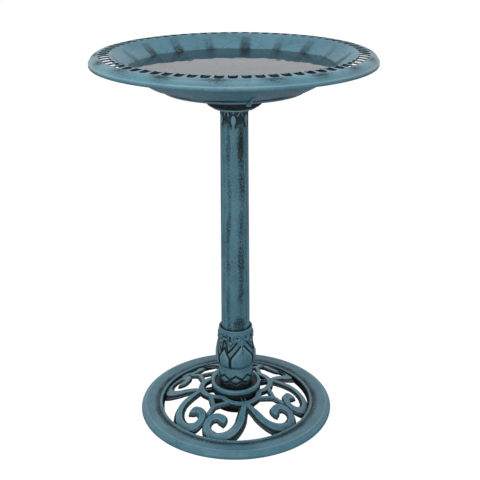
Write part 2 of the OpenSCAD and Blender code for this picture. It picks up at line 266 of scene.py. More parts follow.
class Nodes:
    """A small writer for shader node trees."""

    def __init__(self, tree):
        self.tree = tree

    def feed(self, node, inputs):
        """Gives inputs, by name or number, a constant or another node's output."""
        for key, value in inputs.items():
            if isinstance(value, (int, float, tuple)):
                node.inputs[key].default_value = value
            else:
                self.tree.links.new(value, node.inputs[key])

    def add(self, kind, inputs=None, **settings):
        node = self.tree.nodes.new(kind)
        for key, value in settings.items():
            setattr(node, key, value)
        self.feed(node, inputs or {})
        return node

    def maths(self, operation, a, b=0.0, c=0.0):
        return self.add("ShaderNodeMath", {0: a, 1: b, 2: c}, operation=operation).outputs[0]

    def blend(self, factor, a, b):
        return self.add("ShaderNodeMix", {0: factor, 6: a, 7: b}, data_type="RGBA").outputs[2]

    def noise(self, vector, scale, detail, roughness=0.55):
        inputs = {"Vector": vector, "Scale": scale, "Detail": detail, "Roughness": roughness}
        return self.add("ShaderNodeTexNoise", inputs).outputs[0]

    def ramp(self, value, lo, hi):
        return self.add("ShaderNodeMapRange", {0: value, 1: lo, 2: hi}, interpolation_type="SMOOTHSTEP").outputs[0]

    def where(self):
        return self.add("ShaderNodeTexCoord").outputs["Object"]

    def mask(self, name):
        """A vertex attribute of the mesh."""
        return self.add("ShaderNodeAttribute", attribute_name=name).outputs["Fac"]

    def bump(self, height, strength, distance, *shaders):
        """Bump from a height map on each of the shaders; the distance is in metres."""
        node = self.add("ShaderNodeBump", {"Strength": strength, "Distance": distance, "Height": height})
        for shader in shaders:
            self.feed(shader, {"Normal": node.outputs[0]})

    def mix_shaders(self, factor, a, b, output):
        """A mix of two shaders, led to an output node of the given kind."""
        mix = self.add("ShaderNodeMixShader", {0: factor, 1: a.outputs[0], 2: b.outputs[0]})
        self.add(output, {0: mix.outputs[0]})

    def split_by_camera(self, lit, seen, output):
        """`seen` is what the camera's own rays meet, and `lit` is what every other ray meets."""
        path = self.add("ShaderNodeLightPath")
        self.mix_shaders(path.outputs["Is Camera Ray"], lit, seen, output)


def blank_tree(owner):
    """The emptied node tree of a material or a world."""
    owner.use_nodes = True
    owner.node_tree.nodes.clear()
    return Nodes(owner.node_tree)


def new_material(name):
    """A material, its node writer, and its Principled shader, which is led to the output."""
    material = bpy.data.materials.new(name)
    n = blank_tree(material)
    shader = n.add("ShaderNodeBsdfPrincipled")
    n.add("ShaderNodeOutputMaterial", {0: shader.outputs[0]})
    return material, n, shader


def antique(name, stretch=(1, 1, 1), masked=True, smudge=0.0, tint=TEAL_TINT, shade=TEAL_SHADE):
    """Moulded resin with a teal coat: the mesh's first mask darkens it with dark rub and painted shade, and its second
    lightens it with painted highlights.
    """
    material, n, shader = new_material(name)
    where = n.where()
    grain_at = n.add("ShaderNodeMapping", {0: where, "Scale": stretch}).outputs[0]
    clouds = n.noise(where, 22, 4)
    mottle = n.noise(where, 160, 4, 0.6)
    speck = n.noise(grain_at, 620, 3, 0.7)
    grit = n.noise(where, 1700, 2, 0.6)
    streak = n.noise(grain_at, 120, 5, 0.65)
    tone = n.blend(n.ramp(clouds, 0.35, 0.68), tint, shade)
    tone = n.blend(n.ramp(mottle, 0.35, 0.8), tone, TEAL_MOTTLE)
    # First mask: dark rub together with painted shade in hollows, under things and between parts
    rub_and_shade = n.mask("rub_and_shade") if masked else 0.12
    edge = n.mask("edge") if masked else 0.0
    loose = n.maths("MULTIPLY", n.ramp(streak, 0.52, 0.78), smudge)
    rub_and_shade = n.maths("MAXIMUM", rub_and_shade, loose)
    broken = n.maths("MULTIPLY", n.maths("SUBTRACT", speck, 0.5), 6.5)
    patch = n.maths("MULTIPLY", n.maths("SUBTRACT", mottle, 0.5), 2.4)
    spread = n.maths("MULTIPLY", rub_and_shade, n.maths("SUBTRACT", 1.15, rub_and_shade))
    wear_and_shade = n.maths("MULTIPLY_ADD", n.maths("ADD", broken, patch), spread, rub_and_shade)
    dark = n.maths("MULTIPLY", n.ramp(wear_and_shade, 0.02, 0.98), 0.96)
    # Second mask: painted highlight; the rub and the painted shade go towards a near-black
    with_painted_highlight = n.blend(n.maths("MULTIPLY", edge, 0.5), tone, TEAL_PAINTED_HIGHLIGHT)
    rub_and_shade_ink = n.blend(n.ramp(mottle, 0.3, 0.7), RUB_AND_SHADE_BLACK, RUB_AND_SHADE_BROWN)
    n.feed(shader, {
        "Base Color": n.blend(dark, with_painted_highlight, rub_and_shade_ink),
        "Roughness": n.maths("MULTIPLY_ADD", dark, 0.12, n.maths("MULTIPLY_ADD", mottle, 0.16, 0.33)),
        "Specular IOR Level": n.maths("MULTIPLY_ADD", dark, -0.36, 0.46),
    })
    height = n.maths("MULTIPLY_ADD", grit, 0.5, n.maths("MULTIPLY_ADD", speck, 0.5, n.maths("MULTIPLY", mottle, 0.9)))
    height = n.maths("MULTIPLY_ADD", dark, -0.5, height)
    n.bump(height, 0.28, 0.0004, shader)
    return material


def resin_dark():
    """Dark resin of the parts inside the base, its near-black partly painted shade for the shaded socket."""
    material, n, shader = new_material("dark_resin")
    where = n.where()
    mottle = n.noise(where, 130, 4, 0.6)
    grit = n.noise(where, 1200, 3, 0.6)
    n.feed(shader, {
        "Base Color": n.blend(n.ramp(mottle, 0.3, 0.75), RESIN_AND_SHADE_BLACK, RESIN_AND_SHADE_BROWN),
        "Roughness": n.maths("MULTIPLY_ADD", grit, 0.25, 0.48),
        "Specular IOR Level": 0.25,
    })
    n.bump(grit, 0.3, 0.0003, shader)
    return material


def plated_steel():
    """Zinc-plated fasteners, with a turned grain and a few dull spots."""
    material, n, shader = new_material("plated_steel")
    where = n.where()
    spots = n.noise(where, 260, 4, 0.6)
    grain = n.noise(where, 2600, 2, 0.5)
    n.feed(shader, {
        "Base Color": n.blend(n.ramp(spots, 0.45, 0.7), ZINC_BRIGHT, ZINC_DULL),
        "Metallic": 1.0,
        "Roughness": n.maths("MULTIPLY_ADD", spots, 0.35, 0.16),
    })
    n.bump(grain, 0.2, 0.0001, shader)
    return material


def still_water():
    """A clear surface that mirrors at a low angle and lets the bowl show through from above."""
    material = bpy.data.materials.new("still_water")
    n = blank_tree(material)
    fresnel = n.add("ShaderNodeFresnel", {"IOR": 1.52})
    clear = n.add("ShaderNodeBsdfTransparent", {"Color": (0.52, 0.60, 0.65, 1)})
    gloss = n.add("ShaderNodeBsdfGlossy", {"Roughness": 0.03})
    n.bump(n.noise(n.where(), 14, 2, 0.5), 0.35, 0.0016, gloss, fresnel)
    n.mix_shaders(fresnel.outputs[0], clear, gloss, "ShaderNodeOutputMaterial")
    return material


TEAL = antique("antique_teal", smudge=0.18)
# The tube's teal, lightened as painted light, with its grain stretched along the tube
TEAL_POLE_LIT = antique("antique_teal_pole_lit", stretch=(1, 1, 0.5), smudge=0.3, tint=LIT_POLE_TINT, shade=LIT_POLE_SHADE)
TEAL_PLAIN = antique("antique_teal_plain", masked=False, smudge=0.35)
DARK = resin_dark()
STEEL = plated_steel()
WATER = still_water()

# ---------------------------------------------------------------- basin


def bowl_height(r):
    """Height of the inner face of the bowl at radius r, without its petals."""
    return FLOOR_Z + (RIM_Z - FLOOR_Z) * np.clip(up_wall(r), 0, 1) ** 1.35


def bowl_slope(r):
    return bowl_height(r + 0.5) - bowl_height(r - 0.5)


def up_wall(r):
    """How far up the bowl's wall radius r lies: 0 at the floor, 1 at the rim."""
    return (r - FLOOR_R) / (RIM_IN_R - FLOOR_R)


def petal_offset(angle):
    """Offset from the middle of the nearest petal: 0 in the middle, 1 at its sides."""
    return around(angle, PETAL_A, PETALS) / (180 / PETALS)


def petal_arch(off):
    """Height of a petal's tip up the wall, at an offset from its middle."""
    return 0.84 - 0.40 * off**2


def petal_swell(off, up):
    """How far a petal bulges, on both faces of the wall."""
    return 2.0 * (1 - off**2) * smooth(up, -0.12, 0.12) * fall(up, 0.55, 1.0)


def petal_joint(off, r, width):
    """Closeness to the crease between two petals."""
    return bell((1 - np.abs(off)) * np.radians(180 / PETALS) * r, width)


def petal_relief(angle, r):
    """How far the moulded petals stand out of the bowl's inner face."""
    off, up = petal_offset(angle), up_wall(r)
    arch = petal_arch(off)
    raised = fall(up, arch - 0.015, arch + 0.015)
    swell = petal_swell(off, up)
    joint = petal_joint(off, r, 3.0) * fall(up, 0.5, 0.75) * smooth(up, -0.1, 0.1)
    return 0.75 * raised * smooth(up, -0.05, 0.15) + swell - joint


def hash_wave(angle, seed):
    """A smooth random-looking wave round the piece, between -1 and 1."""
    rng = np.random.default_rng(seed)
    made = np.zeros_like(angle)
    for k in (3, 7, 11, 17, 23):
        made += rng.uniform(-1, 1) * np.sin(k * angle + rng.uniform(0, 6.28))
    return made / 2.2


def brush_marks(angle, r):
    """The regular dark brush marks of the bowl's wall and rim, as a mask."""
    index = np.round((np.degrees(angle) - MARK_A) / (360 / MARKS))
    rng = np.random.default_rng(5)
    shift = rng.uniform(-1.6, 1.6, MARKS)[index.astype(int) % MARKS]
    power = rng.uniform(0.6, 1.0, MARKS)[index.astype(int) % MARKS]
    off = np.abs(np.radians(around(angle, MARK_A, MARKS) - shift) * r)
    up = up_wall(r)
    wide = 9.0 + 5.0 * power
    tall = smooth(up, 0.1, 0.4) * fall(up, 0.88, 0.98) * (0.5 + 0.5 * fall(up, 0.55, 0.92))
    wall = fall(off, wide - 8, wide + 3) * tall * power * 0.84
    rim_off = np.radians(around(angle, RIM_MARK_A, MARKS) - shift) * r
    rim = bell(rim_off, 20) * bell(r - (RIM_IN_R + 25), 7.5) * (0.46 + 0.34 * power)
    return wall + rim


def hole_distance(u, v):
    """Signed distance to one rim hole; u runs outward from the hole's straight side and v across it."""
    half = HOLE_W / 2
    mid = HOLE_L - half
    tip = np.hypot(u - mid, v) - half
    du, dv = np.abs(u - mid / 2) - (mid / 2 - 1.2), np.abs(v) - (half - 1.2)
    slab = np.hypot(np.maximum(du, 0), np.maximum(dv, 0)) + np.minimum(np.maximum(du, dv), 0) - 1.2
    return np.minimum(tip, np.where(u > mid - 1.5, np.abs(v) - half, slab)) * (u <= mid) + tip * (u > mid)


def crest_notch(across):
    """How far the bowl's crest dips in front of a rim hole, at a distance across from the hole's middle."""
    return 0.8 * fall(np.abs(across), HOLE_W / 2 - 2.5, HOLE_W / 2 + 0.8)


def rim_top(r):
    """Height of the rim's upper face."""
    return RIM_Z - RIM_FALL * np.clip((r - RIM_IN_R) / (FLAT_END_R - RIM_IN_R), 0, 1)


def make_basin():
    per_cell = 8
    cols = HOLES * per_cell
    angle = (np.arange(cols) - per_cell / 2) * 2 * math.pi / cols
    hole_r0, hole_r1 = RIM_IN_R + 0.4, FLAT_END_R - 1.6
    side_rows = 8
    points, faces, rub_and_shade, edge = [], [], [], []

    def put(xyz, mask, light):
        """Adds points with their masks, and returns their numbers."""
        points.extend(xyz.tolist())
        rub_and_shade.extend(np.broadcast_to(mask, len(xyz)).tolist())
        edge.extend(np.broadcast_to(light, len(xyz)).tolist())
        return np.arange(len(points) - len(xyz), len(points))

    def ring(r, z, mask=0.0, light=0.0):
        """One row of points all round."""
        return put(cartesian(*np.broadcast_arrays(angle, r, z)), mask, light)

    def join(loops):
        """Quads between each loop of points and the next."""
        for a, b in zip(loops, loops[1:]):
            faces.extend(np.stack([a, np.roll(a, -1), np.roll(b, -1), b], 1).tolist())

    def close(row, z, mask, flip):
        """A fan from a row to a point on the axis."""
        centre = np.repeat(put(np.array([[0, 0, z]]), mask, 0), cols)
        sides = [np.roll(row, -1), row] if flip else [row, np.roll(row, -1)]
        faces.extend(np.stack([centre, *sides], 1).tolist())

    off = petal_offset(angle)

    # Upper side: floor, wall and crest, from the centre outwards.
    floor_mask = 0.42 + 0.2 * hash_wave(angle, 3)
    rows = []
    for r in list(np.linspace(2, FLOOR_R - 6, 14)) + list(np.linspace(FLOOR_R - 3, RIM_IN_R - 3, 46)):
        slope = bowl_slope(r) if r > FLOOR_R - 2 else 0.0
        norm = math.hypot(1, slope)
        lift = petal_relief(angle, np.full(cols, float(r))) if r > FLOOR_R - 12 else np.zeros(cols)
        up = up_wall(r)
        arch = petal_arch(off)
        # A thin dark line along each petal's tip: painted shade of the raised line
        outline = 0.30 * bell((up - arch) * 110, 2.2) * (up > 0.3)
        crease = 0.35 * petal_joint(off, r, 2.6) * fall(up, 0.42, 0.6) * (up > 0)
        # The wall is darker towards the bottom
        low = 0.30 * fall(up, 0.2, 0.62) * (up > -0.2)
        mask = np.maximum(brush_marks(angle, r), low + outline + crease)
        if up < 0:
            mask = np.maximum(floor_mask * 0.6, mask) * (0.8 + 0.2 * np.sin(r / 9.0) ** 2)
        # Painted highlight beside each petal's tip line
        light = 0.25 * bell((up - arch + 0.03) * 110, 2)
        rows.append(ring(r - lift * slope / norm, bowl_height(r) + lift / norm, np.clip(mask, 0, 1), light))
    # The crest rows carry a painted highlight along the white crest line
    rows.append(ring(RIM_IN_R - 1.4, RIM_Z - 1.15, brush_marks(angle, RIM_IN_R - 2.0) * 0.5, 0.2))
    notch = crest_notch(around(angle, 0, HOLES) * math.radians(1) * RIM_IN_R)
    rows.append(ring(RIM_IN_R - 0.6, RIM_Z - 0.35 - 0.8 * notch, 0, 0.7))
    rows.append(ring(RIM_IN_R + 0.1, RIM_Z - 0.02 - notch, 0, 0.8))
    a_top = ring(hole_r0, RIM_Z - 0.12 - notch, 0.05, 0.5)
    rows.append(a_top)
    join(rows)
    close(rows[0], FLOOR_Z, 0.3, False)

    # Outer side of the rim: flat end, skirt, step, band and lip, then back inside the skirt.
    skirt_z = RIM_Z - RIM_FALL - SKIRT_R
    end_a = math.degrees(math.asin((BAND_Z - skirt_z) / SKIRT_R))
    out = [polar((FLAT_END_R, skirt_z), SKIRT_R, a) for a in np.linspace(90, end_a, 12)]
    band = [(1.15, -0.2), (0.55, -0.75), (0.1, -1.5), (0, -2.6)]
    out += [(BASIN_R - back, BAND_Z + rise) for back, rise in band]
    band_end = len(out)
    lip = [(0, 2.5), (0.15, 1.1), (0.8, 0.2), (1.6, 0), (2.9, 0), (WALL, 0.5), (WALL + 0.2, 3)]
    out += [(BASIN_R - back, LIP_Z + rise) for back, rise in lip]
    lip_end = len(out)
    for a in np.linspace(end_a, 88, 7):
        r, z = polar((FLAT_END_R, skirt_z), SKIRT_R - WALL, a)
        out.append((r, z + (WALL - FLANGE_T) * float(smooth(a, 50, 88))))
    b_top = ring(hole_r1, float(rim_top(hole_r1)), brush_marks(angle, hole_r1))
    rows = [b_top]
    for k, (r, z) in enumerate(out):
        if k < band_end:
            wear_and_shade = brush_marks(angle, r) + 0.10 * smooth(hash_wave(angle, 11), 0.1, 0.8)
            # Painted highlights: the lower skirt and band, the step at the band, and the top of the skirt
            light = 0.30 * (z < BAND_Z + 3) + 0.60 * bell(z - BAND_Z + 0.6, 0.9)
            light += 0.25 * bell(z - (RIM_Z - RIM_FALL - 3), 3)
        else:
            # The lip is a little darker; the inside of the skirt is dark with painted shade
            wear_and_shade = 0.25 if k < lip_end else 0.6
            light = 0.0
        rows.append(ring(r, z, wear_and_shade, light))
    # The rim's underside is dark with painted shade
    b_low = ring(hole_r1, float(rim_top(hole_r1)) - FLANGE_T, 0.8)
    rows.append(b_low)
    join(rows)

    # Underside of the bowl, from the rim down to the floor.
    # The underside is darkened as painted shade with some dark rub: a dark line just above the support plate's edge,
    # darker again up towards the rim, and darkest under the rim
    a_low = ring(hole_r0 + 0.5, RIM_Z - FLANGE_T - 0.2, 0.8)
    rows = [a_low]
    for r in np.linspace(RIM_IN_R - 2, FLOOR_R - 2, 26):
        slope = bowl_slope(r)
        norm = math.hypot(1, slope)
        up = up_wall(r)
        lift = petal_swell(off, up) - WALL
        mask = 0.22 + 0.78 * bell(up, 0.07) + 0.42 * smooth(up, 0.46, 0.76) + 0.06 * hash_wave(angle, 21)
        rows.append(ring(r - lift * slope / norm, bowl_height(r) + lift / norm, np.clip(mask, 0, 1)))
    for r in (FLOOR_R - 8, 124, RIB_R + 0.3, RIB_R, RIB_R - 4, RIB_R - 4.3, 100, 70, 40, 10, 2):
        on_rib = RIB_R - 4.1 <= r <= RIB_R + 0.1
        rows.append(ring(r, PLATE_Z + 0.3 if on_rib else FLOOR_Z - WALL, 0.45))
    join(rows)
    close(rows[-1], FLOOR_Z - WALL, 0.4, True)

    # The pierced rim: each cell is a patch from its border to its hole, down the hole's wall and back under the rim.
    # Each layer: how far from border to hole, how far the hole is grown, its drop under the top, and its darkening: rub
    # on the top, painted shade down the hole's wall and under the rim.
    layers = [
        (0.45, 0.0, 0.0, 0.04), (1.0, 1.0, 0.0, 0.10), (1.0, 0.3, -0.12, 0.5), (1.0, 0.0, -0.4, 0.8),
        (1.0, 0.0, -FLANGE_T + 0.3, 0.95), (1.0, 0.3, -FLANGE_T, 0.9), (0.45, 0.0, -FLANGE_T, 0.8),
    ]
    half_cell = math.pi / HOLES
    border_rows = {}
    for top in (True, False):
        r_in = hole_r0 if top else hole_r0 + 0.5
        r = r_in + (hole_r1 - r_in) * np.arange(1, side_rows) / side_rows
        z = rim_top(r) - (0 if top else FLANGE_T)
        for cell in range(HOLES):
            side = cartesian(np.full(len(r), (2 * cell - 1) * half_cell), r, z)
            border_rows[(top, cell)] = put(side, 0.06 if top else 0.6, 0)

    def border(top, cell):
        a_ring, b_ring = (a_top, b_top) if top else (a_low, b_low)
        here, after = border_rows[(top, cell)], border_rows[(top, (cell + 1) % HOLES)]
        along = np.arange(cell * per_cell, (cell + 1) * per_cell + 1) % cols
        return np.concatenate([a_ring[along], after, b_ring[along[::-1]], here[::-1]])

    for cell in range(HOLES):
        turn = 2 * cell * half_cell
        top_loop, low_loop = border(True, cell), border(False, cell)

        def local(ids):
            p = np.array([points[i] for i in ids])
            return np.stack(rotate(p[:, 0], p[:, 1], -turn), 1)

        middle = np.array([RIM_IN_R + 1 + HOLE_L * 0.48, 0.0])
        top_xy, low_xy = local(top_loop), local(low_loop)
        heading = top_xy - middle
        heading /= np.linalg.norm(heading, axis=1, keepdims=True)
        lo, hi = np.zeros(len(heading)), np.full(len(heading), 14.0)
        for _ in range(22):
            t = (lo + hi) / 2
            p = middle + heading * t[:, None]
            inside = hole_distance(p[:, 0] - RIM_IN_R - 1, p[:, 1]) < HOLE_GROWN
            lo, hi = np.where(inside, t, lo), np.where(inside, hi, t)
        hole_xy = middle + heading * lo[:, None]
        loops = [top_loop]
        for mix, grow, drop, mask in layers:
            outer = top_xy if drop > -FLANGE_T else low_xy
            base = hole_xy + heading * grow
            p = outer + (base - outer) * mix
            r = np.hypot(p[:, 0], p[:, 1])
            near_crest = fall(r, RIM_IN_R + 1.2, RIM_IN_R + 3.0)
            z = rim_top(r) + drop - crest_notch(p[:, 1]) * near_crest * (drop > -FLANGE_T + 0.4)
            at = np.arctan2(p[:, 1], p[:, 0]) + turn
            on_top = drop > -0.3
            # A painted highlight along the crest, on the top only
            marks, light = brush_marks(at, r) * on_top, bell(r - RIM_IN_R, 1.6) * on_top
            xyz = np.stack([*rotate(p[:, 0], p[:, 1], turn), z], 1)
            loops.append(put(xyz, np.maximum(mask, marks), light))
        join([*loops, low_loop])
    return points, faces, (rub_and_shade, edge)


def make_water():
    """The water's surface, which ends inside the bowl's wall."""
    radii = [2, 20, 60, 100, 140, 170, 180, 186, 190.5, 192.5]
    steps = 160
    a, r, z = turned(np.array([(r, WATER_Z) for r in radii]), steps)
    points = np.vstack([cartesian(a, r, z), [[0, 0, WATER_Z]]])
    faces = grid_faces(len(radii), steps, False) + [[len(points) - 1, j, (j + 1) % steps] for j in range(steps)]
    water = mesh_object("water", points, [face[::-1] for face in faces], WATER)
    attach(water, "basin")


piece("basin_shell", *make_basin(), "basin", "basin")
make_water()

# ---------------------------------------------------------------- cap and tube


def make_cap():
    z0 = TUBE_TOP
    outline = [
        (22.5, z0 - 24), (22.7, z0 - 24), (22.7, z0 - 0.2), (36.5, z0), (38.6, z0 + 0.2), (39.7, z0 + 1.0),
        (39.7, z0 + 3.0), (42.5, z0 + 3.6), (46.5, z0 + 5.4), (50, z0 + 8.4), (51.5, z0 + 13), (51.5, CAP_TOP - 7),
        (53, CAP_TOP - 3.5), (53, CAP_TOP), (40, CAP_TOP), (40, CAP_TOP - 4), (48.5, CAP_TOP - 4), (48.5, z0 + 14),
        (47, z0 + 10), (42.5, z0 + 6.5), (34.5, z0 + 4), (19.7, z0 + 4), (19.7, z0 - 24),
    ]
    section = soften(outline, 1.4, 2.0)
    points, faces, a, r, z = lathe(section, 128)
    bead = fall(z, z0 + 2.8, z0 + 3.4) * fall(r, 39.8, 40.8)
    # The cap is dark all over except its bead, whose top carries a painted highlight
    rub_and_shade = 0.99 - 0.94 * bead * smooth(r, 37, 38.4)
    edge = 0.8 * bell(z - z0 - 1.6, 1.4) * smooth(r, 38, 39.4) * bead
    return points, faces, (rub_and_shade + 0.05 * hash_wave(a, 8), edge)


piece("pole_cap_shell", *make_cap(), "pedestal", "pole_cap")

# Dark streaks down the tube: where in degrees, how wide, how strong, and the phase of their waves.
STREAKS = [
    (244, 12, 0.55, 0.3), (297, 18, 0.66, 2.1), (221, 5, 0.42, 1.3), (193, 10, 0.55, 4.0), (322, 6, 0.5, 1.0),
    (10, 11, 0.6, 5.0), (62, 10, 0.6, 2.6), (110, 11, 0.6, 0.9), (150, 10, 0.6, 3.3),
]


def tube_pattern(angle, z):
    """Relief, darkening and painted highlight of the hanging leaves moulded round the top of the tube: the field round
    the leaves and their borders get dark rub and painted shade, and the slanted ridges and ovals a painted highlight.
    """
    off = around(angle, 266.4, 6)
    down = TUBE_TOP - z
    half = 9.5 * smooth(down, 7, 14) * fall(down, 17, 30) + 4.5 * smooth(down, 12, 30)
    leaf = fall(np.abs(off), half - 3.0, half + 3.0) * smooth(down, 7, 10) * fall(down, 38, 50)
    rim = bell(np.abs(off) - half - 3.0, 2.4) * smooth(down, 7, 9) * fall(down, 22, 34)
    slant = bell(np.abs(off) - 29 + 0.9 * down, 2.4) * fall(down, 9, 13) * smooth(down, 0.5, 2)
    oval = bell(off / 4.5, 1.0) * bell((down - 4.4) / 1.9, 1.0)
    field = fall(down, 22 + 4 * np.cos(np.radians(off * 6)), 44 + 6 * np.cos(np.radians(off * 6)))
    relief = 1.0 * leaf + 0.8 * oval + 0.7 * slant - 0.6 * rim
    rub_and_shade = field * 0.86 * (1 - leaf) * (1 - 0.8 * slant) * (1 - 0.85 * oval) + 0.3 * rim
    return relief, rub_and_shade, 0.35 * slant + 0.3 * oval


def make_tube():
    heights = np.concatenate([np.linspace(TUBE_TOP, TUBE_TOP - 50, 64), np.linspace(TUBE_TOP - 56, TUBE_FOOT, 90)])
    radius = TUBE_R1 + (TUBE_R0 - TUBE_R1) * (TUBE_TOP - heights) / (TUBE_TOP - TUBE_FOOT)
    outer = np.stack([radius, heights], 1)
    inside = np.vstack([outer[::-24], outer[:1]]) - (TUBE_WALL, 0)
    section = np.vstack([outer[::-1], inside[::-1]])
    cols = 240
    a, r, z = turned(section, cols)
    is_outer = (np.arange(len(section)) < len(outer))[:, None]
    relief, rub_and_shade, edge = tube_pattern(a, z)
    fade = smooth(TUBE_TOP - z, 36, 50)
    relief = np.where(is_outer, relief * (1 - fade), 0)
    points = cartesian(a, r + relief, z)
    faces = grid_faces(len(section), cols, True)
    turn = np.degrees(a)
    wander = 5 * np.sin(z / 61.0) + 3 * np.sin(z / 23.0 + 1)
    streaks = np.zeros_like(a)
    for at, wide, power, phase in STREAKS:
        lit = 0.72 + 0.28 * np.sin(z / 38.0 + phase) * np.sin(z / 17.0 + 2 * phase)
        across = bell(wrap(turn - at - 0.7 * wander, 360.0), wide)
        streaks = np.maximum(streaks, power * np.minimum(1, 1.3 * lit * across))
    streaks = np.maximum(streaks, 0.20 + 0.08 * np.sin(z / 29.0 + 2 * a))
    streaks = streaks + 0.26 * fall(TUBE_TOP - z, 45, 120) * bell(wrap(turn - 297, 360.0), 20)
    # Painted shade where the tube goes down into the column foot's collar
    foot = fall(z, VASE_TOP - 2, VASE_TOP + 7)
    patch = np.minimum(0.70, 1.2 * bell(wrap(turn - 287, 360.0), 25) * bell(z - VASE_TOP - 10, 20))
    rub_and_shade_all = np.maximum.reduce([rub_and_shade * (1 - fade), streaks * smooth(TUBE_TOP - z, 12, 34), 0.9 * foot, patch])
    # The tube's inner face is dark with painted shade
    rub_and_shade_all = np.where(is_outer, rub_and_shade_all, 0.8)
    edge = np.where(is_outer, edge * (1 - fade), 0)
    return points, faces, (np.clip(rub_and_shade_all, 0, 1), edge)


piece("pole_tube_skin", *make_tube(), "pedestal", "pole_tube", TEAL_POLE_LIT)

# ---------------------------------------------------------------- column foot


def line_distance(x, y, path):
    """Distance from points to a polyline."""
    best = np.full(np.shape(x), 1e9)
    for (x0, y0), (x1, y1) in zip(path, path[1:]):
        dx, dy = x1 - x0, y1 - y0
        t = np.clip(((x - x0) * dx + (y - y0) * dy) / (dx * dx + dy * dy), 0, 1)
        best = np.minimum(best, np.hypot(x - x0 - t * dx, y - y0 - t * dy))
    return best


def inside_path(x, y, path):
    """True inside a closed polygon."""
    odd = np.zeros(np.shape(x), bool)
    n = len(path)
    for i in range(n):
        (x0, y0), (x1, y1) = path[i], path[(i + 1) % n]
        crosses = (y0 > y) != (y1 > y)
        at = x0 + (y - y0) * (x1 - x0) / (y1 - y0 if y1 != y0 else 1e-9)
        odd ^= crosses & (x < at)
    return odd


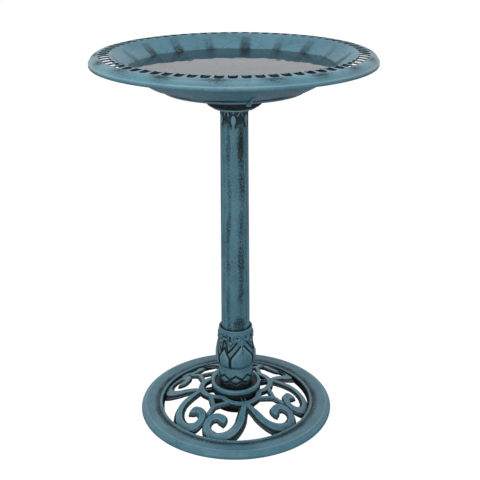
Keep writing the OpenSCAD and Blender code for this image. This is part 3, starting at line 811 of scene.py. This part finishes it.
def foot_pattern(angle, z):
    """Relief, darkening and painted highlight of three broad and three narrow petals, buds and curls, and a diamond
    band: the creases, eyes and petal sides get dark rub and painted shade, and the petal borders, bud, curls and top
    rim a painted highlight.
    """
    turn = around(angle, PETAL_CENTRE, 3)
    off = np.abs(turn)
    x = off * DEG
    relief, rub_and_shade, edge = np.zeros((3, *x.shape))

    def stroke(path, width, depth, dark=0.95):
        nonlocal relief, rub_and_shade
        d = line_distance(x, z, [(px * DEG, pz) for px, pz in path])
        relief = relief - depth * bell(d, width)
        rub_and_shade = np.maximum(rub_and_shade, dark * fall(d, width * 1.05, width * 2.6))

    broad = [(0, 162), (6.5, 151), (20.5, 140), (33, 130), (38, 122), (39, 112), (37, 103), (0, 100), (0, 162)]
    narrow = [(60, 147), (53, 138), (46, 131), (40.5, 122), (40, 112), (41, 103), (60, 101), (60, 147)]
    for path, high in ((broad, 2.3), (narrow, 2.0)):
        poly = [(px * DEG, pz) for px, pz in path]
        inside = inside_path(x, z, poly)
        side = line_distance(x, z, poly[1:-1] if path is broad else poly[:-1])
        relief = relief + np.where(inside, high * smooth(side, 0.0, 6.5), 0)
        # Petal sides darken as painted shade with dark rub, and the petals are darker towards their foot
        wear_and_shade = 0.45 * fall(side, 0.8, 4.0) + 0.16 * fall(z, 103, 116)
        rub_and_shade = np.maximum(rub_and_shade, np.where(inside, wear_and_shade, 0))
        edge = np.maximum(edge, np.where(inside, 0.6 * bell(side - 3.8, 1.5), 0))
    stroke([(6.5, 151), (20.5, 140), (33, 130), (38.5, 123)], 1.15, 1.5)
    stroke([(59, 146), (53, 138), (46, 131), (39.5, 123)], 1.15, 1.5)
    stroke([(39.3, 123), (39.5, 113), (39.5, 102)], 1.7, 1.8)
    stroke([(60, 101), (50, 101.5), (39.5, 102), (20, 101), (0, 100)], 0.9, 0.7, 0.6)
    stroke([(18, 158.5), (30, 149.5), (46, 137)], 1.2, 1.3)
    stroke([(58.5, 163), (52, 149), (47, 137.5)], 1.25, 1.4)
    stroke([(0, 151), (0, 134)], 0.8, 0.5, 0.5)
    # The bud between two curls.
    bud = np.abs(x - 40.8 * DEG) / (8.6 * DEG) + np.abs(z - 157) / 5.4
    relief = relief + 1.7 * fall(bud, 0.45, 1.05)
    rub_and_shade = np.maximum(rub_and_shade * smooth(bud, 0.7, 1.0), 0.9 * bell((bud - 1.25) * 4.5, 1.2))
    relief = relief - 0.8 * bell((bud - 1.25) * 4.5, 1.1)
    edge = np.maximum(edge, 0.7 * bell((bud - 0.85) * 5, 1.0) * (z > 157))
    stroke([(40.8, 171), (40.8, 163)], 1.1, 1.1)
    stroke([(30, 146), (38, 141.5), (42, 140)], 0.7, 0.5, 0.5)
    # Curls with a dark eye.
    for at in (16.3, 55.5):
        eye = np.hypot((x - at * DEG) / 3.8, (z - 168.6) / 2.5)
        relief = relief + 1.9 * bell((eye - 1.75) * 2.0, 1.0) - 1.3 * fall(eye, 0.5, 1.15)
        rub_and_shade = np.maximum(rub_and_shade * smooth(np.abs(eye - 1.65), 0.1, 0.5), 0.72 * fall(eye, 0.6, 1.2))
        rub_and_shade = np.maximum(rub_and_shade, 0.55 * bell((eye - 2.35) * 2.6, 1.0))
        edge = np.maximum(edge, 0.8 * bell((eye - 1.7) * 2.2, 1.0) * (z < 167.5))
    stroke([(52, 176), (51, 170), (49, 164)], 0.7, 0.6, 0.7)
    stroke([(27, 168), (28, 161), (24, 156)], 0.6, 0.4, 0.55)
    # Diamond band on the neck.
    tooth = np.abs(around(angle, 270.5, 9)) / 20.0
    zig = 84 - 8 * tooth
    zag = 67 + 7 * tooth
    in_band = smooth(z, 61, 64) * fall(z, 91, 93)
    cut = np.maximum(bell(z - zig, 1.5), bell(z - zag, 1.5)) * in_band
    facet = np.clip(np.minimum(zig - z, z - zag) / 5.0, 0, 1)
    relief = relief - 1.2 * cut + 1.8 * facet
    lines = np.maximum(fall(np.abs(z - zig), 1.9, 3.5), fall(np.abs(z - zag), 1.7, 3.1))
    rub_and_shade = np.maximum(rub_and_shade, 0.95 * lines * in_band)
    crown = bell(z - zag + 5.2, 0.75)
    low = fall(z - zag, -1.5, 0.0)
    rub_and_shade = np.maximum(rub_and_shade * (1 - 0.8 * crown), 0.92 * low * (1 - 0.75 * crown))
    relief = relief + 0.9 * crown
    # Rolled rim with its fine groove.
    rub_and_shade = np.maximum(rub_and_shade, 0.7 * bell(z - (VASE_TOP - 2.9), 0.55))
    relief = relief - 0.5 * bell(z - (VASE_TOP - 2.9), 0.6)
    edge = np.maximum(edge, 0.7 * bell(z - (VASE_TOP - 1.1), 0.8))
    fade = smooth(z, 52, 56) * fall(z, VASE_TOP - 0.8, VASE_TOP - 0.2)
    return relief * fade, np.clip(rub_and_shade, 0, 1), edge * fall(rub_and_shade, 0.2, 0.6)


def make_foot():
    neck, belly, led = 35.4, 40.4, TUBE_FOOT
    rim = neck - 1.4
    outer = [
        (30, VASE_LO), (30, HUB_TOP - 8), (31.5, HUB_TOP + 3), (34.6, HUB_TOP + 13), (34.6, HUB_TOP + 24),
        (33.4, led - 11), (32.8, led - 6), (33.8, led - 2), (neck + 1.6, led + 5), (belly - 2.0, led + 14),
        (belly - 2.2, led + 23), (belly - 4.2, led + 35), (neck - 0.8, VASE_TOP - 34), (rim + 0.2, VASE_TOP - 24),
        (rim - 0.3, VASE_TOP - 13), (rim - 0.7, VASE_TOP - 8), (rim - 0.5, VASE_TOP - 4.5), (rim - 0.8, VASE_TOP - 1.2),
        (rim - 1.6, VASE_TOP), (rim - 2.8, VASE_TOP),
    ]
    inner = [
        (28.8, VASE_TOP - 7), (28.8, led), (4, led), (4, led - 4), (28.6, led - 4), (28.6, VASE_LO + 4),
        (4.3, VASE_LO + 4), (4.3, VASE_LO),
    ]
    out_line = soften(outer, 3.2, 0.98, closed=False)
    section = np.vstack([out_line, soften(inner, 0.8, 6.0, closed=False)])
    is_outer = np.arange(len(section)) < len(out_line)
    cols = 300
    normals = section_normals(section)
    a, r, z = turned(section, cols)
    relief, rub_and_shade, edge = foot_pattern(a, z)
    on = is_outer[:, None] & (z > HUB_TOP - 8)
    relief = np.where(on, relief, 0)
    # Inside the foot and below the hub's top: dark with painted shade
    rub_and_shade = np.where(on, rub_and_shade, 0.85)
    edge = np.where(on, edge, 0)
    points = cartesian(a, r + relief * normals[:, :1], z + relief * normals[:, 1:])
    return points, grid_faces(len(section), cols, True), (rub_and_shade, edge)


piece("column_foot_relief", *make_foot(), "pedestal", "column_foot")

# ---------------------------------------------------------------- base ring


def make_ring():
    i, o, h = RING_IN, RING_R, RING_H
    outline = [
        (o - 1.5, 0), (o, 3), (o, 6), (o - 1.6, h - 5.4), (o - 4.6, h - 2.8), (o - 6.6, h - 1.9), (o - 9, h - 1.0),
        (o - 11, h - 1.1), (i + 20, h - 1.5), (i + 9.5, h - 2.1), (i + 7.2, h - 3.2), (i + 6.0, h - 1.2),
        (i + 4.5, h), (i + 1.5, h), (i, h - 1.5), (i - 0.6, h - 3.6), (i - 3.4, 0.2), (i + 0.5, 0),
        (i + 3, h - 5.5), (o - 9, h - 5.5), (o - 4.5, 5), (o - 4.5, 0),
    ]
    section = soften(outline, 1.5, 1.7)
    points, faces, a, r, z = lathe(section, 480)
    top = smooth(z, h - 4.5, h - 3)
    rub_and_shade = 0.12 + 0.07 * hash_wave(a, 31)
    # The groove darkens as dark rub and painted shade, and the inner side of the deck carries dark rub
    rub_and_shade = np.maximum(rub_and_shade, top * 0.9 * bell(r - (i + 7.3), 1.0))
    rub_and_shade = np.maximum(rub_and_shade, top * (0.66 + 0.16 * hash_wave(a, 37)) * bell(r - (i + 10), 7.0))
    # Painted shade down the inner wall and in the hollow under the ring
    rub_and_shade = np.maximum(rub_and_shade, 0.97 * fall(r, i + 0.3, i + 1.2) * fall(z, h - 2.6, h - 1.2))
    rub_and_shade = np.maximum(rub_and_shade, 0.85 * (z < h - 5) * (r > i + 1) * (r < o - 4))
    # Painted highlights along the deck's outer rounded edge and the inner lip
    edge = 0.75 * bell(r - (o - 9.4), 1.6) * top + 0.55 * bell(r - (i + 3), 2.2) * top
    return points, faces, (np.clip(rub_and_shade, 0, 1), edge)


piece("base_ring_moulding", *make_ring(), "pedestal", "base_ring")

# ---------------------------------------------------------------- openwork of the base


def seg(x, y, a, b, w0, w1):
    """Signed distance to a bar from a to b whose width goes from w0 to w1."""
    dx, dy = b[0] - a[0], b[1] - a[1]
    t = np.clip(((x - a[0]) * dx + (y - a[1]) * dy) / (dx * dx + dy * dy), 0, 1)
    return np.hypot(x - a[0] - t * dx, y - a[1] - t * dy) - (w0 + (w1 - w0) * t) / 2


def arc_bar(x, y, c, r, a0, a1, w):
    """Signed distance to a band along an arc from a0 to a1, in degrees."""
    mid, half = math.radians((a0 + a1) / 2), math.radians((a1 - a0) / 2)
    px, py = rotate(x - c[0], y - c[1], -mid)
    py = np.abs(py)
    on = np.arctan2(py, px) <= half
    end = np.hypot(px - r * math.cos(half), py - r * math.sin(half))
    return np.where(on, np.abs(np.hypot(px, py) - r), end) - w / 2


def polygon_distance(x, y, path):
    d = line_distance(x, y, path + [path[0]])
    return np.where(inside_path(x, y, path), -d, d)


def merge(a, b, k):
    """Union of two distances with a small fillet of size k."""
    h = np.clip(0.5 + 0.5 * (b - a) / k, 0, 1)
    return b + (a - b) * h - k * h * (1 - h)


def arm_start():
    """Where a scroll's straight arm leaves the lobes, where it meets its loop, and the loop's angle there."""
    start = polar((0, 0), LOBE_R - 2, 45)
    to = (LOOP_C[0] - start[0], LOOP_C[1] - start[1])
    turn = math.degrees(math.atan2(-to[1], -to[0]) - math.acos(min(1, LOOP_R / math.hypot(*to))))
    return start, polar(LOOP_C, LOOP_R, turn), turn


ARM_FROM, ARM_TO, ARM_TURN = arm_start()
BEAK = [(102.5, 38.6), (109.5, 40.2), (114.6, 38.4), (112.6, 31.0), (107.0, 26.5), (101, 29)]


def scroll_distances(x, y):
    """Signed distances to one pair of scrolls in its own frame: to the raised pad, and to the wider lower flank."""
    y = np.abs(y)
    inner = (ARM_FROM[0] - 2, ARM_FROM[1] - 2)
    loop = arc_bar(x, y, LOOP_C, LOOP_R, -2, ARM_TURN + 3, PAD_W)
    arm = merge(seg(x, y, inner, ARM_TO, BAR_W + 1, PAD_W), loop, 1.0)
    hook = arc_bar(x, y, HOOK_C, HOOK_R, -205, 2, PAD_W)
    head_c = polar(HOOK_C, HOOK_R, 158)
    head = np.hypot(x - head_c[0], y - head_c[1]) - PAD_W * 0.58
    beak = polygon_distance(x, y, BEAK) - 0.5
    curl = merge(hook, merge(head, beak, 1.4), 1.0)
    foot_at = polar((LOBE_C * DIAGONAL, LOBE_C * DIAGONAL), LOBE_BAND + BAR_W / 2 - 4, -2)
    strut = seg(x, y, (LINK_X, 1.0), foot_at, STRUT_W, STRUT_W)
    link = np.maximum(np.abs(x - 96.5) - 13.0, np.abs(y) - STRUT_W / 2 - 0.4 + 1.2 * bell(x - 98.0, 1.6))
    stay = merge(strut, link, 1.4)
    pad = np.minimum(np.minimum(arm, curl), stay)
    flank = merge(merge(arm - FLANK, curl - 0.45 * FLANK, 0.8), stay - 0.4 * FLANK, 0.8)
    return pad, flank


def dome(r, outset=0.0):
    """Height of the openwork's dome at radius r."""
    reach = DOME_R + outset
    return DOME_C[1] + np.sqrt(np.maximum(reach**2 - (r - DOME_C[0]) ** 2, 0))


def plate_from_distance(distance, top, low, box, step):
    """A closed mesh of the region where distance is negative, between two height functions.
    Grid points near the outline are moved onto it."""
    xs = np.arange(box[0], box[1] + step, step)
    ys = np.arange(box[2], box[3] + step, step)
    x, y = np.meshgrid(xs, ys)
    d = distance(x, y)
    e = 0.05
    near = np.abs(d) <= 0.5 * step
    gx = (distance(x + e, y) - distance(x - e, y)) / (2 * e)
    gy = (distance(x, y + e) - distance(x, y - e)) / (2 * e)
    size = np.maximum(np.hypot(gx, gy), 0.3)
    x = np.where(near, x - d * gx / size**2, x)
    y = np.where(near, y - d * gy / size**2, y)
    d = np.where(near, 0.0, d)
    # A cell of the grid gives a quad if all its corners are kept, and a triangle if three are.
    corners = [np.s_[:-1, :-1], np.s_[:-1, 1:], np.s_[1:, 1:], np.s_[1:, :-1]]
    keep = np.array([d[at] <= 0 for at in corners])
    deep = np.minimum.reduce([d[at] for at in corners]) < -0.02
    ids = np.arange(d.size).reshape(d.shape)
    q = [ids[at] for at in corners]
    full = keep.all(0) & deep
    top_faces = np.stack([k[full] for k in q], 1).tolist()
    three = (keep.sum(0) == 3) & deep
    for gone in range(4):
        pick = three & ~keep[gone]
        top_faces += np.stack([q[(gone + k) % 4][pick] for k in (1, 2, 3)], 1).tolist()
    used = np.unique(np.concatenate([np.ravel(face) for face in top_faces]))
    number = -np.ones(d.size, int)
    number[used] = np.arange(len(used))
    px, py, pd = x.ravel()[used], y.ravel()[used], d.ravel()[used]
    top_faces = [[int(number[k]) for k in face] for face in top_faces]
    edges = dict.fromkeys((face[k], face[(k + 1) % len(face)]) for face in top_faces for k in range(len(face)))
    rim = [pair for pair in edges if (pair[1], pair[0]) not in edges]
    n = len(used)
    zt, zl = top(px, py, pd), low(px, py, pd)
    wall_rows = (0.12, 0.5, 0.88)
    rim_ids = sorted({k for pair in rim for k in pair})
    extra = [(px[k], py[k], zt[k] + (zl[k] - zt[k]) * t) for k in rim_ids for t in wall_rows]
    first = {k: 2 * n + len(wall_rows) * order for order, k in enumerate(rim_ids)}
    points = np.vstack([np.stack([px, py, zt], 1), np.stack([px, py, zl], 1), np.array(extra)])
    faces = list(top_faces) + [[k + n for k in face[::-1]] for face in top_faces]
    for pair in rim:
        here, after = [[i, *range(first[i], first[i] + len(wall_rows)), i + n] for i in pair]
        for k in range(len(wall_rows) + 1):
            faces.append([after[k], here[k], here[k + 1], after[k + 1]])
    kind = np.concatenate([np.zeros(n), np.ones(n), np.full(len(extra), 2)])
    dist = np.concatenate([pd, pd, np.zeros(len(extra))])
    return points, faces, kind, dist


def edge_drop(d):
    """How far the rounded border lies under the top, from the distance to the outline."""
    t = np.clip(1 + d / ROUND, 0, 1)
    return ROUND * (1 - np.sqrt(np.maximum(1 - t * t, 0)))


def scroll_top(x, y, d):
    """The pad's dome, with its rounded border, a small step and a flank that slopes down to the outline."""
    pad = scroll_distances(x, y)[0]
    r = np.hypot(x, y)
    drop = edge_drop(np.minimum(pad, -0.01)) + 0.9 * smooth(pad, -0.3, 0.5) + 0.75 * np.clip(pad, 0, 5)
    return dome(np.minimum(r, RING_IN + 1)) - drop - 0.5 * edge_drop(d)


def scroll_low(x, y, d):
    r = np.hypot(x, y)
    return np.minimum(scroll_top(x, y, d) - 0.8, np.maximum(dome(r, -BAR_T + 2.5), 1.2))


def make_scroll():
    def outline(x, y):
        return np.maximum(scroll_distances(x, y)[1], np.hypot(x, y) - RING_IN - 0.6)

    return plate_from_distance(outline, scroll_top, scroll_low, (38, 153, -76, 76), 0.8)


scroll_points, scroll_faces, scroll_kind, scroll_d = make_scroll()
sx, sy = scroll_points[:, 0], scroll_points[:, 1]
sr = np.hypot(sx, sy)
pad_d = scroll_distances(sx, sy)[0]
on_top = scroll_kind == 0
near_ring = smooth(sr, 138, 149)
for index, name in enumerate(("scroll_back_right", "scroll_back_left", "scroll_front_left", "scroll_front_right")):
    turn = math.radians(LOBE_A + 45 + 90 * index)
    pts = np.stack([*rotate(sx, sy, turn), scroll_points[:, 2]], 1)
    wave = hash_wave(sx / 17.0 + sy / 11.0, 50 + index)
    # Darker where the scrolls meet the ring and towards each pad's border: painted shade with dark rub
    face = 0.13 + 0.07 * wave + 0.35 * near_ring + 0.45 * smooth(pad_d, -2.4, -0.6)
    # The sloped flank is dark with painted shade and a little lighter just inside the outline; the walls and underside
    # are dark with painted shade
    flank_rub_and_shade = 0.96 - 0.50 * bell(scroll_d + 1.1, 0.7)
    rub_and_shade = np.where(on_top, face + (flank_rub_and_shade - face) * smooth(pad_d, -0.7, 0.2), 0.95)
    # Painted highlight just inside the pad's border
    edge = np.where(on_top, 0.45 * bell(pad_d + 2.6, 1.1), 0)
    piece(name + "_openwork", pts, scroll_faces, (np.clip(rub_and_shade, 0, 1), edge), "pedestal", name)


def lobe_distance(x, y):
    """Signed distance to the four lobe bands, their ribs and the ring of the hub."""
    d = np.full(np.shape(x), 1e3)
    for k in range(4):
        u, v = rotate(x, y, -math.radians(LOBE_A + 90 * k))
        band = np.abs(np.hypot(u - LOBE_C, v) - LOBE_BAND) - BAR_W / 2 - 0.6
        own = (np.abs(v) - u) * DIAGONAL
        band = np.maximum(band - 0.8, own - 1.5)
        ribs = seg(u, np.abs(v), (HUB_R - 2, 3.9), (LOBE_R - 7, 3.0), 2.8, 2.8)
        d = np.minimum(d, merge(band, ribs, 0.6))
    return np.maximum(d, (HUB_R - 3) - np.hypot(x, y))


def lobe_top(x, y, d):
    return dome(np.hypot(x, y)) - edge_drop(d)


def lobe_low(x, y, _):
    return dome(np.hypot(x, y), -BAR_T)


points, faces, kind, dist = plate_from_distance(lobe_distance, lobe_top, lobe_low, (-78, 78, -78, 78), 0.8)
bead_r = (HUB_R - HUB_IN) / 2
bead = [(HUB_IN, HUB_TOP - 19), (HUB_R, HUB_TOP - 19)]
bead += [polar((HUB_R - bead_r, HUB_TOP - bead_r), bead_r, a) for a in range(0, 181, 15)]
bead_pts, bead_faces, _, br, bz = lathe(soften(bead, 0.4, 1.6), 240)
recess = soften([(30.5, 50.5), (33, 51.8), (HUB_IN + 0.6, 55.5), (HUB_IN + 0.6, 47), (30.5, 45)][::-1], 0.4, 1.4)
dish_pts, dish_faces, _, dr, _ = lathe(recess, 160)
all_points, all_faces = points, list(faces)
for more_points, more_faces in ((bead_pts, bead_faces), (dish_pts, dish_faces)):
    all_faces += [[k + len(all_points) for k in face] for face in more_faces]
    all_points = np.vstack([all_points, more_points])
pr = np.hypot(points[:, 0], points[:, 1])
# The lobes darken along their outlines and where they meet the hub's bead, as dark rub and painted shade; their walls
# and underside are dark with painted shade, and a painted highlight runs inside each outline
rub_and_shade_lobe = np.where(kind == 0, 0.13 + 0.65 * bell(dist, 1.0) + 0.6 * bell(pr - HUB_R, 3.0), 0.95)
edge_lobe = np.where(kind == 0, 0.45 * bell(dist + 2.4, 1.1), 0)
# The bead is dark with painted shade on its inner side and below it, and its top carries a painted highlight
inside = fall(br, HUB_IN + 0.2, HUB_IN + 2.0)
rub_and_shade_bead = np.maximum(0.10, 0.9 * inside * fall(bz, HUB_TOP - 3, HUB_TOP - 1))
rub_and_shade_bead = np.maximum(rub_and_shade_bead, 0.97 * fall(bz, HUB_TOP - 9.5, HUB_TOP - 6.5) * (br > HUB_IN + 3))
edge_bead = 0.4 * bell(bz - HUB_TOP, 1.2)
# The recess round the column foot is dark with painted shade
painted_shade_dish = 0.80 - 0.14 * bell(dr - 38, 2.5)
masks = np.concatenate([rub_and_shade_lobe, rub_and_shade_bead, painted_shade_dish]), np.concatenate([edge_lobe, edge_bead, 0 * dr])
piece("base_hub_openwork", all_points, all_faces, masks, "pedestal", "base_hub")

# ---------------------------------------------------------------- CAD nodes that stay

for name, material in (
    ("support_plate", TEAL_PLAIN), ("release_tab", TEAL_PLAIN), ("hub_socket", DARK),
    ("plate_screws", STEEL), ("tie_bolt", STEEL), ("tie_nut", STEEL), ("tie_washers", STEEL),
):
    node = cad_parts[name]
    if node.material_slots:
        for own in node.material_slots:
            own.link = "OBJECT"
            own.material = material
    else:
        node.data.materials.append(material)

# ---------------------------------------------------------------- floor, light and camera


def make_floor():
    """White to the camera, and a matt grey to the light that bounces off it."""
    material = bpy.data.materials.new("floor_white")
    n = blank_tree(material)
    seen = n.add("ShaderNodeEmission", {"Strength": 1.05})
    matt = n.add("ShaderNodeBsdfDiffuse", {"Color": (0.42, 0.42, 0.43, 1)})
    n.split_by_camera(matt, seen, "ShaderNodeOutputMaterial")
    half, z = 6000.0, -0.4
    corners = [(-half, -half, z), (half, -half, z), (half, half, z), (-half, half, z)]
    mesh_object("floor", corners, [(0, 1, 2, 3)], material)


def make_world():
    """Soft studio surroundings, brightest behind the object; the camera's own rays see plain white."""
    world = bpy.data.worlds.new("studio")
    bpy.context.scene.world = world
    n = blank_tree(world)
    direction = n.add("ShaderNodeTexCoord").outputs["Generated"]
    split = n.add("ShaderNodeSeparateXYZ", {0: direction})
    back = n.ramp(split.outputs["Y"], -0.35, 0.5)
    side = n.ramp(n.maths("ABSOLUTE", split.outputs["X"]), 0.45, 0.95)
    level = n.maths("MULTIPLY_ADD", back, 0.80, n.maths("MULTIPLY_ADD", side, 0.36, 0.26))
    up = n.ramp(split.outputs["Z"], 0.35, 0.85)
    level = n.maths("MULTIPLY", level, n.maths("MULTIPLY_ADD", up, -0.35, 1.0))
    lit = n.add("ShaderNodeBackground", {"Color": (1.0, 1.0, 1.0, 1), "Strength": level})
    seen = n.add("ShaderNodeBackground", {"Color": (1.0, 1.0, 1.0, 1), "Strength": 1.0})
    n.split_by_camera(lit, seen, "ShaderNodeOutputWorld")


def area_light(name, location, target, size, power):
    light = bpy.data.lights.new(name, "AREA")
    light.shape = "RECTANGLE"
    light.size, light.size_y = size
    light.energy = power
    obj = bpy.data.objects.new(name, light)
    obj.location = location
    away = np.array(target, float) - np.array(location, float)
    obj.rotation_euler = Vector(away).to_track_quat("-Z", "Y").to_euler()
    bpy.context.scene.collection.objects.link(obj)


make_floor()
make_world()
area_light("top_soft_box", (-0.25, -0.55, 2.3), (0, 0, 0.45), (1.5, 1.1), 19.5)
area_light("front_soft_box", (-0.3, -2.7, 0.95), (0, 0, 0.35), (3.2, 1.5), 40)

DIP, ROLL = 0.3795, 0.0037  # of the camera's axis, in radians
camera_data = bpy.data.cameras.new("camera")
camera_data.sensor_width = 36
camera_data.lens = 64.76
camera_data.clip_start, camera_data.clip_end = 0.05, 50
camera = bpy.data.objects.new("camera", camera_data)
camera.location = (0.0117, -1.5289, 0.9731)
camera.rotation_euler = (math.radians(90) - DIP, ROLL, 0)
bpy.context.scene.collection.objects.link(camera)
bpy.context.scene.camera = camera
bpy.context.scene.view_settings.view_transform = "Standard"
